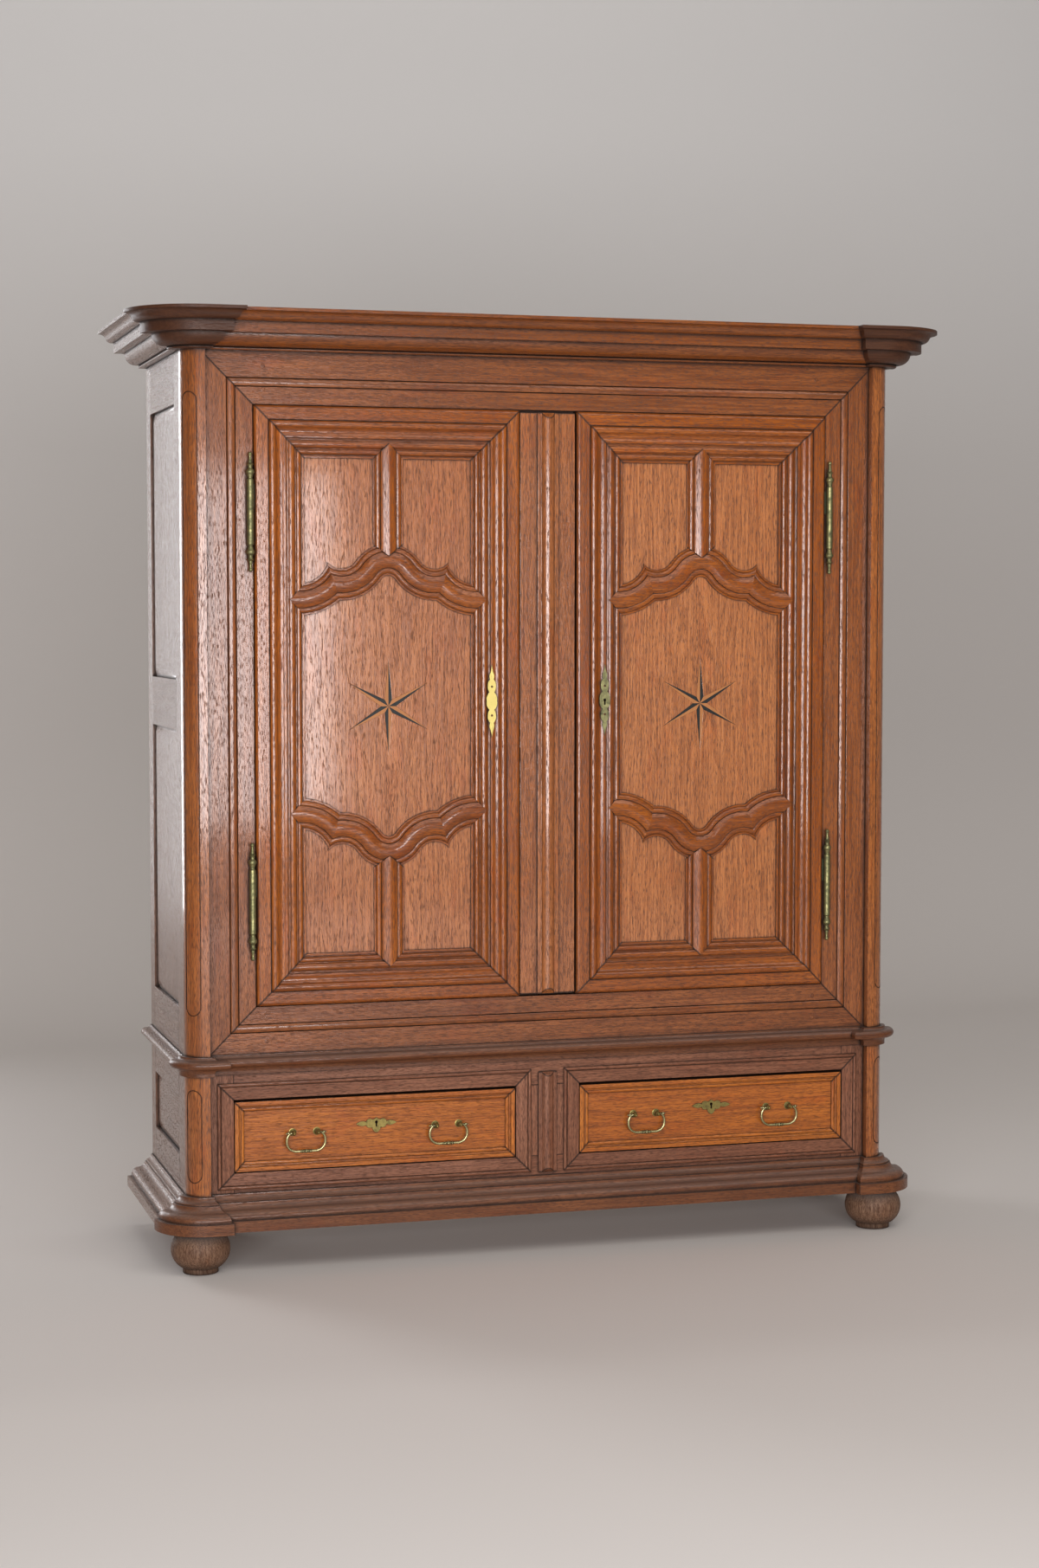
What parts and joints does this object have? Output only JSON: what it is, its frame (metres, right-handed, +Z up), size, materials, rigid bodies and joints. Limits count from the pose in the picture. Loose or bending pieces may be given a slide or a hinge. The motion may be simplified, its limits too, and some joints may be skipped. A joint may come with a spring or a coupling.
{
  "type": "hall cupboard",
  "caption": "Baroque oak hall cupboard on bun feet, with hinged panelled doors above sliding drawers, moulded cornice, waist and plinth, and bail handles.",
  "frame": {"origin": "on the floor, under the middle of the overall box", "axes": "+X to the right as seen from the front, +Y to the back, +Z up"},
  "size_m": [1.936, 0.65, 2.145],
  "materials": {
    "oak": "waxed",
    "oak_dark": "waxed, worn",
    "oak_drawer": "waxed",
    "softwood": "bare, aged",
    "inlay": "waxed",
    "brass": "aged",
    "iron": "dull"
  },
  "bodies": {
    "carcase": {"bun_feet": "oak_dark", "plinth_front": "oak_dark", "plinth_corners": "oak_dark", "plinth_sides": "oak_dark", "base_bottom": "softwood", "base_front_frame": "oak", "base_front_mouldings": "oak", "drawer_runners": "softwood", "waist_front": "oak_dark", "waist_corners": "oak_dark", "waist_sides": "oak_dark", "side_frames": "oak", "side_panels": "oak", "corner_columns": "oak", "front_stiles": "oak", "front_rails": "oak", "frame_pegs": "oak", "hinge_posts": "brass", "back_boards": "softwood", "top_boards": "softwood", "upper_bottom": "softwood", "shelves": "softwood", "cornice_front": "oak", "cornice_corners": "oak", "cornice_sides": "oak"},
    "door_left": {"door_left_stiles": "oak", "door_left_rails": "oak", "door_left_panel": "oak", "door_left_star": "inlay", "door_left_bars": "oak", "door_left_escutcheon": "brass", "door_left_hinges": "brass", "meeting_strip": "oak", "meeting_strip_moulding": "oak", "door_left_bolt_plate": "iron"},
    "door_right": {"door_right_stiles": "oak", "door_right_rails": "oak", "door_right_panel": "oak", "door_right_star": "inlay", "door_right_bars": "oak", "door_right_escutcheon": "brass", "door_right_hinges": "brass", "door_right_lock": "iron"},
    "bolt": {"door_left_bolt": "iron"},
    "drawer_left": {"drawer_left_front": "oak_drawer", "drawer_left_moulding": "oak_drawer", "drawer_left_box": "softwood", "drawer_left_bottom": "softwood", "drawer_left_lock": "iron", "drawer_left_fittings": "brass"},
    "drawer_left_bail_left": {"drawer_left_bail_left": "brass"},
    "drawer_left_bail_right": {"drawer_left_bail_right": "brass"},
    "drawer_right": {"drawer_right_front": "oak_drawer", "drawer_right_moulding": "oak_drawer", "drawer_right_box": "softwood", "drawer_right_bottom": "softwood", "drawer_right_lock": "iron", "drawer_right_fittings": "brass"},
    "drawer_right_bail_left": {"drawer_right_bail_left": "brass"},
    "drawer_right_bail_right": {"drawer_right_bail_right": "brass"}
  },
  "joints": [
    {"name": "door_left_hinge", "type": "hinge", "parent": "carcase", "child": "door_left", "pos_m": [-0.694, -0.197, 1.2675], "axis": [0, 0, -1], "range_deg": [0, 110]},
    {"name": "door_right_hinge", "type": "hinge", "parent": "carcase", "child": "door_right", "pos_m": [0.694, -0.197, 1.2675], "axis": [0, 0, 1], "range_deg": [0, 110]},
    {"name": "bolt_slide", "type": "slide", "parent": "door_left", "child": "bolt", "axis": [0, 0, 1], "range_m": [0, 0.022]},
    {"name": "drawer_left_slide", "type": "slide", "parent": "carcase", "child": "drawer_left", "axis": [0, -1, 0], "range_m": [0, 0.36]},
    {"name": "drawer_left_bail_left_swing", "type": "hinge", "parent": "drawer_left", "child": "drawer_left_bail_left", "pos_m": [-0.57475, -0.197, 0.302], "axis": [-1, 0, 0], "range_deg": [-8, 100]},
    {"name": "drawer_left_bail_right_swing", "type": "hinge", "parent": "drawer_left", "child": "drawer_left_bail_right", "pos_m": [-0.24075, -0.197, 0.302], "axis": [-1, 0, 0], "range_deg": [-8, 100]},
    {"name": "drawer_right_slide", "type": "slide", "parent": "carcase", "child": "drawer_right", "axis": [0, -1, 0], "range_m": [0, 0.36]},
    {"name": "drawer_right_bail_left_swing", "type": "hinge", "parent": "drawer_right", "child": "drawer_right_bail_left", "pos_m": [0.24075, -0.197, 0.302], "axis": [-1, 0, 0], "range_deg": [-8, 100]},
    {"name": "drawer_right_bail_right_swing", "type": "hinge", "parent": "drawer_right", "child": "drawer_right_bail_right", "pos_m": [0.57475, -0.197, 0.302], "axis": [-1, 0, 0], "range_deg": [-8, 100]}
  ]
}
